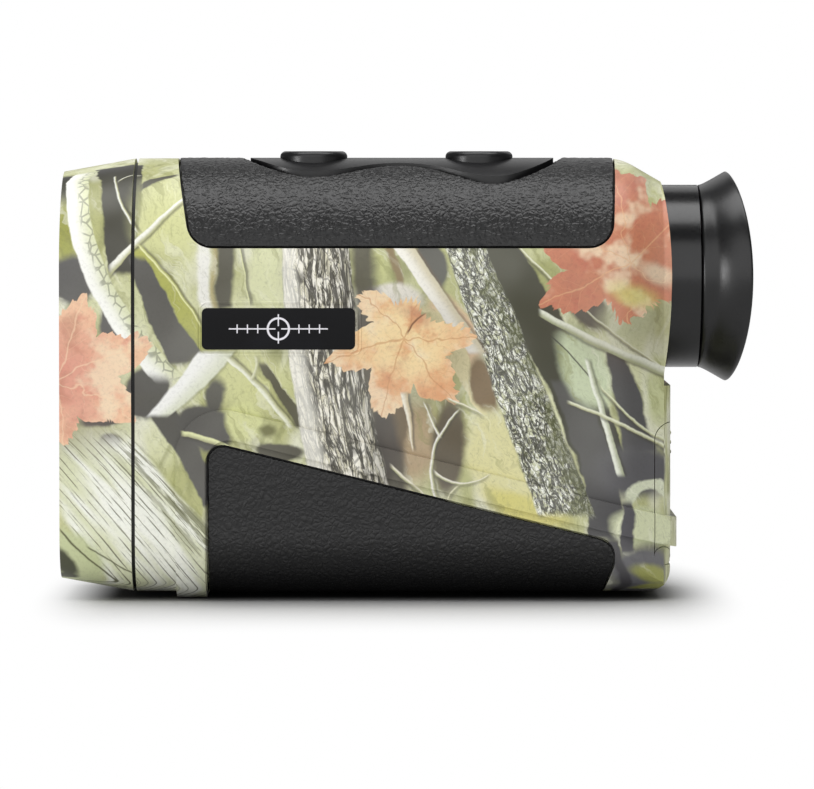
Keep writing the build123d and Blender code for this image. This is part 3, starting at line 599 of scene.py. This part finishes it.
    def big_trunk(self):
        mask, offset, along = self.trunk((316, 232), (329, 372), (354, 500), 33, 38,
                                         soft=1.4, ends=6)
        mask = mask * 1.0  # full strength
        self.draw(TRUNK_SHADOW)
        self.bark(mask, offset, along, light="#fbf7ea", shade="#d8d3ba", crack="#2f2b23",
                  across_scale=0.1, along_scale=0.016, half_width=46, seed=3)
        self.tint(mask * offset.ease(off=-14, on=-26), "#f5f3e8", amount=0.7)

    def mossy_trunk(self):
        mask, offset, along = self.trunk((460, 232), (505, 350), (566, 512), 19, 27,
                                         soft=1.5, ends=6)
        self.bark(mask, offset, along, light="#fbfcf2", shade="#cfd1ac", crack="#2c2b24",
                  across_scale=0.14, along_scale=0.05, half_width=34, seed=17)
        moss = self.noise((self.x, self.y, 5.0), scale=0.06, detail=4, rough=0.62)
        moss = moss + offset.ease(off=-14, on=24) * 0.2
        self.tint(mask * moss.ease(off=0.62, on=0.70), "#5c6132", amount=0.6)
        speck = self.noise((self.x, self.y, 9.0), scale=0.16, detail=3, rough=0.6)
        self.tint(mask * speck.ease(off=0.57, on=0.64), "#35361f", amount=0.5)

    def pebbled_trunk(self):
        """Pale curving trunk at low x, pebbled along its +X edge."""
        mask, offset, _ = self.trunk((85, 118), (91, 257), (168, 376), 11, 12,
                                     soft=1.1, ends=8)
        self.tint(mask, self.mix(offset.ease(off=-9, on=11), "#fbfbf4", "#dcdfba"))
        pebble = self.cell_edge(self.vector(self.x, self.y * 0.85, 4.0),
                                scale=0.12, randomness=0.9)
        edge = mask * offset.ease(off=-1, on=3)
        self.tint(edge * pebble.ease(off=0.13, on=0.03), "#3f3f36", amount=0.5)

    def unprinted(self):
        """Mask of the moulding below the skin: inside faces, seats of the grips and badges."""
        X, Y, Z = self.body
        axis_z = 0.0534
        radius = Y.scaled(by=Y, plus=(Z - axis_z) * (Z - axis_z)).sqrt()
        top = radius.ease(off=0.0194, on=0.0192) * Z.ease(off=0.0532, on=0.0536)
        side = (abs(Y).ease(off=0.0194, on=0.0192)
                * abs(Z - 0.035).ease(off=0.0186, on=0.0182)
                * X.ease(off=0.0345, on=0.0340) * X.ease(off=-0.0446, on=-0.0442))
        top = top * X.ease(off=0.0358, on=0.0352) * X.ease(off=-0.0446, on=-0.0442)
        return top.at_least(side).clamped()


def camo():
    g = WoodlandPrint()
    g.backdrop()
    g.draw(FOLIAGE)
    g.blades(strength=0.42, seed=3.0)
    g.fallen_trunk()
    g.draw(VEIL)
    g.big_trunk()
    g.mossy_trunk()
    g.pebbled_trunk()
    g.draw(BRANCHES)
    g.draw(FOREGROUND)
    # grain of the print and its lacquer
    fine = g.noise((g.x, g.y, 2.0), scale=0.35, rough=0.6)
    g.tint(fine.ease(off=0.45, on=0.75), "#3f3f36", amount=0.12)
    tone = g.noise(g.position, scale=60.0)
    g.tint(tone.ease(off=0.3, on=0.8), "#fbfbf0", amount=0.08)
    g.tint(g.unprinted(), "#1b1b1c")
    texture = g.noise(g.position, scale=2600.0, rough=0.6)
    return g.finish(color=g.colour, rough=fine.scaled(by=0.12, plus=0.3), spec=0.28, coat=0.08,
                    coat_rough=0.28, normal=g.bump(texture, strength=0.06, distance=0.00006))


# =====================================================================
# plainer materials
# =====================================================================
def seal_rubber():
    g = Material("seal_rubber")
    grain = g.noise(g.position, scale=3200.0, detail=3, rough=0.6)
    broad = g.noise(g.position, scale=90.0, detail=3, rough=0.55)
    c = g.mix(broad.ease(off=0.3, on=0.7), "#060606", "#1d1d1f", amount=0.5)
    c = g.mix(grain.ease(off=0.55, on=0.75), c, "#3a3a3d", amount=0.25)
    return g.finish(color=c, rough=grain.scaled(by=0.2, plus=0.42), spec=0.5,
                    normal=g.bump(grain, strength=0.25, distance=0.00005))


def grip_rubber():
    """Moulded rubber with a wrinkled hide grain, with a little painted shade: darker in the
    creases between the cells, paler on their crests.
    """
    g = Material("grip_rubber")
    bend = g.split(g.noise(g.position, scale=700.0, out="Color"))
    place = [at + (b - 0.5) * 0.0011 for at, b in zip(g.split(g.position), bend)]
    cell = g.cell_edge(g.vector(*place), scale=1150.0, randomness=1.0)
    crest = cell.ease(off=0.0, on=0.34)
    grain = g.noise(g.position, scale=3800.0, detail=3, rough=0.6)
    # painted shade: darker in the creases between the cells, paler on their crests
    c = g.mix(crest, "#0d0d0e", "#161616")
    c = g.mix(grain.ease(off=0.5, on=0.8), c, "#262628", amount=0.25)
    strength = 0.5
    return g.finish(color=c, rough=grain.scaled(by=0.12, plus=0.29), spec=0.46,
                    normal=g.bump(grain.scaled(by=0.22, plus=crest), strength, distance=0.00012))


def smooth_black(name, base, rough):
    g = Material(name)
    grain = g.noise(g.position, scale=1800.0, rough=0.6)
    wear = g.noise(g.position, scale=140.0, detail=3, rough=0.6)
    c = g.mix(wear.ease(off=0.35, on=0.75), base, "#1c1c1e", amount=0.35)
    return g.finish(color=c, rough=grain.scaled(by=0.12, plus=rough - 0.05), spec=0.5,
                    normal=g.bump(grain, strength=0.08, distance=0.00004))


def badge():
    """Gloss black plate with a plain aiming mark: a ring, a cross and range ticks, in mm."""
    g = Material("badge_gloss")
    X, Y, Z = g.split(g.position)
    dx, dz = X * MM_PER_M + 21.15, Z * MM_PER_M - 45.08
    radius = length(dx, dz)
    ring = abs(radius - 1.75).ease(off=0.2, on=0.14)
    upright = abs(dx).ease(off=0.13, on=0.08) * abs(dz).ease(off=2.45, on=2.4)
    level = abs(dz).ease(off=0.13, on=0.08) * abs(dx).ease(off=8.2, on=8.15)
    cross = upright.at_least(level) * radius.ease(off=0.45, on=0.5)
    ticks = (abs(dx).pingpong(0.85).ease(off=0.12, on=0.07)
             * abs(dz).ease(off=0.75, on=0.7)
             * abs(dx).ease(off=2.9, on=3.0) * abs(dx).ease(off=7.9, on=7.8))
    mark = ring.at_least(cross).at_least(ticks).clamped()
    haze = g.noise((X * 1.0, Y * 1.0, Z * 1.0), scale=130.0)
    base = g.mix(haze.ease(off=0.5, on=0.75), "#08080b", "#15151c", amount=0.5)
    return g.finish(color=g.mix(mark, base, "#eceaf0"), rough=haze.scaled(by=0.1, plus=0.10),
                    spec=0.15, coat=0.05, coat_rough=0.05)


def glass(name, tint, coating):
    """Coated optical glass: clear, with a thin coloured sheen that grows at a slant."""
    g = Material(name)
    facing = g.value("LayerWeight", {"Blend": 0.3}, out="Facing")
    ripple = g.noise(g.position, scale=300.0)
    g.finish(color=tint, rough=ripple.scaled(by=0.01, plus=0.0), trans=1.0, ior=1.45)
    sheen = g.value("BsdfGlossy", {
        "Color": g.mix(facing.ease(off=0.05, on=0.6), coating, "#3f8f86"),
        "Roughness": ripple.scaled(by=0.03, plus=0.02)})
    g.cover(facing.scaled(by=0.25, plus=0.12), sheen)
    return g.material


def metal(name, dark, light, rough):
    g = Material(name)
    X, Y, Z = g.split(g.position)
    # even grain: the same scale on each axis
    grain = g.noise((X * 1.0, Y * 1.0, Z * 1.0), scale=900.0, detail=3, rough=0.6)
    return g.finish(color=g.mix(grain.ease(off=0.3, on=0.7), dark, light), metal=1.0,
                    rough=grain.scaled(by=0.15, plus=rough - 0.06),
                    normal=g.bump(grain, strength=0.08, distance=0.00003))


def plastic(name, dark, light, rough):
    g = Material(name)
    grain = g.noise(g.position, scale=400.0, detail=3, rough=0.6)
    return g.finish(color=g.mix(grain.ease(off=0.3, on=0.7), dark, light), spec=0.5,
                    rough=grain.scaled(by=0.15, plus=rough - 0.06),
                    normal=g.bump(grain, strength=0.06, distance=0.00003))


def board():
    """Green circuit board with broken tracks both ways."""
    g = Material("board_green")
    X, _, Z = g.split(g.position)
    across = (X * MM_PER_M).pingpong(1.1)
    up = (Z * MM_PER_M).pingpong(1.3)
    breaks = g.noise(g.position, scale=240.0, detail=1)
    tracks = (across.ease(off=0.2, on=0.1) * breaks.ease(off=0.45, on=0.5)).at_least(
        up.ease(off=0.2, on=0.1) * breaks.ease(off=0.56, on=0.5))
    return g.finish(color=g.mix(tracks, "#12452a", "#2c7a48"), rough=0.32, spec=0.5, coat=0.3)


MATERIALS = {
    "camo_shell": camo(),
    "grip_rubber": grip_rubber(),
    "smooth_black": smooth_black("smooth_black", "#121213", rough=0.33),
    "badge_gloss": badge(),
    "eyepiece_black": smooth_black("eyepiece_black", "#0a0a0b", rough=0.22),
    "cup_rubber": smooth_black("cup_rubber", "#0d0d0e", rough=0.29),
    "seal_rubber": seal_rubber(),
    "lens_glass": glass("lens_glass", "#eef4f2", "#6a55c8"),
    "prism_glass": glass("prism_glass", "#f2f6f6", "#c4d4d8"),
    "inner_black": plastic("inner_black", "#141415", "#1f1f21", rough=0.55),
    "board_green": board(),
    "chip_black": plastic("chip_black", "#101011", "#1b1b1d", rough=0.3),
    "flex_amber": plastic("flex_amber", "#8a4a12", "#a8611c", rough=0.25),
    "steel": metal("steel", "#9a9b9e", "#c3c4c8", rough=0.3),
    "brass": metal("brass", "#b8923f", "#d9b566", rough=0.28),
    "cell_wrap": plastic("cell_wrap", "#252b3b", "#30384c", rough=0.25),
    "plunger_grey": plastic("plunger_grey", "#55565a", "#66676c", rough=0.4),
}
for entry in frame["record"]["subparts"]:
    slots = NODES[entry["node"]].data.materials
    slots.clear()
    slots.append(MATERIALS[entry["material_slot"]])


# =====================================================================
# grips: the moulded rubber with its raised grain in the mesh
# =====================================================================
def link(name, data):
    obj = bpy.data.objects.new(name, data)
    SCENE.collection.objects.link(obj)
    return obj


def bake_modifiers(obj):
    bpy.context.view_layer.update()
    graph = bpy.context.evaluated_depsgraph_get()
    mesh = bpy.data.meshes.new_from_object(obj.evaluated_get(graph))
    obj.modifiers.clear()
    obj.data = mesh


def grained_grip(node, name):
    mesh = NODES[node].data.copy()
    bm = bmesh.new()
    bm.from_mesh(mesh)
    bmesh.ops.remove_doubles(bm, verts=bm.verts, dist=1e-6)
    bm.to_mesh(mesh)
    bm.free()
    grip = link(name, mesh)

    dense = grip.modifiers.new("dense", "REMESH")
    dense.mode = "VOXEL"
    dense.voxel_size = 0.00025
    dense.use_smooth_shade = True
    even = grip.modifiers.new("even", "SMOOTH")
    even.factor = 0.5
    even.iterations = 1
    bake_modifiers(grip)

    cells = bpy.data.textures.new(name + "_cells", "VORONOI")
    cells.distance_metric = "DISTANCE"
    cells.noise_scale = 0.00115
    # second-nearest minus nearest: low along the walls between cells
    cells.weight_1, cells.weight_2 = -1.0, 1.0
    grain = grip.modifiers.new("grain", "DISPLACE")
    grain.texture = cells
    grain.texture_coords = "LOCAL"
    grain.strength = 0.00021
    grain.mid_level = 0.55
    bake_modifiers(grip)

    for face in grip.data.polygons:
        face.use_smooth = True
    grip.data.materials.clear()
    grip.data.materials.append(MATERIALS["grip_rubber"])
    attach(grip, "housing")
    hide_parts(node)


grained_grip("top_grip", "top_grip_rubber")
grained_grip("bottom_grip", "bottom_grip_rubber")


# =====================================================================
# eyecup and badge frames: rings of points joined into closed tubes
# =====================================================================
def mesh_from(bm, name):
    mesh = bpy.data.meshes.new(name)
    bm.to_mesh(mesh)
    bm.free()
    return mesh


def closed_tube(name, rings, material):
    """Joins each ring to the next and the last to the first."""
    bm = bmesh.new()
    loops = [[bm.verts.new(point) for point in ring] for ring in rings]
    for k, a in enumerate(loops):
        b = loops[(k + 1) % len(loops)]
        for i in range(len(a)):
            j = (i + 1) % len(a)
            bm.faces.new((a[i], a[j], b[j], b[i]))
    bmesh.ops.recalc_face_normals(bm, faces=bm.faces)
    mesh = mesh_from(bm, name)
    for face in mesh.polygons:
        face.use_smooth = True
    tube = link(name, mesh)
    rounding = tube.modifiers.new("round", "SUBSURF")
    rounding.levels = rounding.render_levels = 1
    mesh.materials.append(MATERIALS[material])
    return tube


EYECUP_AXIS_Z_MM = 53.4
EYECUP_SEGMENTS = 128
# section of the eyecup in mm: radius, x at top and bottom, x at the two sides
EYECUP_SECTION = (
    (13.55, 48.98, 48.98), (15.33, 48.98, 48.98), (15.36, 49.1, 50.2), (15.4, 49.5, 51.6),
    (15.95, 50.6, 52.4), (16.8, 52.1, 53.9), (17.45, 53.2, 55.6), (17.62, 53.55, 56.6),
    (17.6, 53.72, 57.25), (17.35, 53.74, 57.45), (17.05, 53.6, 57.3), (16.75, 53.2, 56.6),
    (16.1, 52.3, 54.6), (15.2, 51.6, 52.8), (14.3, 51.2, 51.6), (13.55, 51.05, 51.05),
)


def eyecup():
    """Flare whose crease and rim run in curves, reaching further out at the sides."""
    rings = []
    for radius, x_top, x_side in EYECUP_SECTION:
        ring = []
        for i in range(EYECUP_SEGMENTS):
            a = 2 * math.pi * i / EYECUP_SEGMENTS
            x = x_top + (x_side - x_top) * abs(math.cos(a)) ** 1.35
            ring.append((x * MM, radius * math.cos(a) * MM,
                         (EYECUP_AXIS_Z_MM + radius * math.sin(a)) * MM))
        rings.append(ring)
    cup = closed_tube("eyecup_rubber", rings, "cup_rubber")
    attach(cup, "eyecup_body")
    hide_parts("eyecup")


FRAME_GAP = 1.05 * MM  # from the badge to the frame; less at the -X end
FRAME_GAP_LOW_X = FRAME_GAP * 0.45
FRAME_CORNER = 1.3 * MM
FRAME_TUBE = 0.16 * MM  # radius of the frame's section
FRAME_FLATTEN = 0.55  # its height off the side, as a share of that radius
FRAME_Y = 0.0198
FRAME_SECTION_POINTS = 8
CORNER_STEPS = 8


def badge_frame(name, side):
    """Thin raised frame moulded round a badge; side is -1 or 1, along Y."""
    low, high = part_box("side_badges")
    x_low = low[0] - FRAME_GAP_LOW_X + FRAME_CORNER
    x_high = high[0] + FRAME_GAP - FRAME_CORNER
    z_low = low[2] - FRAME_GAP + FRAME_CORNER
    z_high = high[2] + FRAME_GAP - FRAME_CORNER
    rings = []
    for x, z, start in ((x_high, z_high, 0), (x_low, z_high, 90), (x_low, z_low, 180),
                        (x_high, z_low, 270)):
        for k in range(CORNER_STEPS + 1):
            a = math.radians(start + k * 90 / CORNER_STEPS)
            ring = []
            for i in range(FRAME_SECTION_POINTS):
                t = 2 * math.pi * i / FRAME_SECTION_POINTS
                reach = FRAME_CORNER + FRAME_TUBE * math.cos(t)
                y = side * (FRAME_Y + FRAME_TUBE * FRAME_FLATTEN * math.sin(t))
                ring.append((x + reach * math.cos(a), y, z + reach * math.sin(a)))
            rings.append(ring)
    tube = closed_tube(name, rings, "camo_shell")
    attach(tube, "housing")


eyecup()
badge_frame("badge_frame_near", -1)
badge_frame("badge_frame_far", 1)

# =====================================================================
# studio
# =====================================================================
CENTRE = (0, 0, 0.037)
# name, place, target, width, height, watts
LIGHTS = (
    ("top_soft", (0.0, -0.02, 0.60), CENTRE, 0.70, 0.34, 2.8),
    ("front_key", (-0.10, -0.95, 0.44), CENTRE, 1.7, 0.9, 6.4),
    ("left_strip", (-0.72, -0.44, 0.07), (0.05, 0, 0.052), 0.16, 0.34, 2.6),
    ("back_soft", (0.1, 0.75, 0.5), CENTRE, 0.9, 0.5, 0.9),
)


def area_light(name, place, target, width, height, watts):
    data = bpy.data.lights.new(name, "AREA")
    data.shape = "RECTANGLE"
    data.size, data.size_y = width, height
    data.energy = watts
    light = link(name, data)
    light.location = place
    light.rotation_mode = "QUATERNION"
    light.rotation_quaternion = (Vector(target) - Vector(place)).to_track_quat("-Z", "Y")


def white_room():
    """Seen as plain white, it lights the object more gently than it looks."""
    world = bpy.data.worlds.new("studio")
    SCENE.world = world
    world.use_nodes = True
    g = Graph(world.node_tree)
    background = g.tree.nodes["Background"]
    camera_ray = g.value("LightPath", {}, out="Is Camera Ray")
    # inputs 3 and 4 are the strength as a light and as seen
    strength = g.value("MapRange", {0: camera_ray, 3: 0.10, 4: 1.0})
    g.put(background.inputs[0], (1, 1, 1, 1))
    g.put(background.inputs[1], strength)


def floor_material():
    g = Material("floor_white")
    mottle = g.noise(g.position, scale=3.0)
    # the floor darkens where the object closes off the light
    open_sky = g.value("AmbientOcclusion", {"Distance": 0.08}, out="AO", samples=8)
    open_sky = open_sky.calc("POWER", 1.4)
    pale = g.mix(mottle, (0.86, 0.86, 0.86, 1), (0.88, 0.88, 0.88, 1))
    g.finish(color=g.mix(open_sky, (0.02, 0.02, 0.02, 1), pale), rough=0.7, spec=0.2)
    # away from the object the floor fades into the white of the room, faster along X
    x, y, _ = g.split(g.position)
    beyond_x = (abs(x + 0.003) - 0.044).at_least(0.0) * 4.5
    beyond_y = (abs(y) - 0.016).at_least(0.0)
    far = length(beyond_x, beyond_y).ease(off=0.004, on=0.070)
    camera_ray = g.value("LightPath", {}, out="Is Camera Ray")
    glow = g.value("Emission", {"Strength": camera_ray.scaled(by=0.30, plus=0.70)})
    g.cover(far, glow)
    return g.material


def floor():
    bm = bmesh.new()
    bmesh.ops.create_grid(bm, x_segments=4, y_segments=4, size=6.0)
    plane = link("floor", mesh_from(bm, "floor"))
    plane.location = (0, 0, -0.00002)
    plane.data.materials.append(floor_material())


VIEW_X, VIEW_Z = 0.082975 * MM, 33.405735 * MM  # the point the camera looks at, on y = 0
VIEW_WIDTH = 135.0833 * MM  # width in view there, before VIEW_MARGIN widens it
VIEW_MARGIN = 0.984
VIEW_DISTANCE = 0.95
VIEW_ELEVATION = math.radians(2.4)
SENSOR_WIDTH_MM = 36.0


def camera():
    data = bpy.data.cameras.new("camera")
    cam = link("camera", data)
    cam.location = (VIEW_X, -VIEW_DISTANCE * math.cos(VIEW_ELEVATION),
                    VIEW_Z + VIEW_DISTANCE * math.sin(VIEW_ELEVATION))
    cam.rotation_euler = (math.radians(90) - VIEW_ELEVATION, 0, 0)
    data.sensor_width = SENSOR_WIDTH_MM
    data.lens = SENSOR_WIDTH_MM * VIEW_DISTANCE / VIEW_WIDTH * VIEW_MARGIN
    data.clip_start, data.clip_end = 0.01, 50
    SCENE.camera = cam


for row in LIGHTS:
    area_light(*row)
white_room()
floor()
camera()
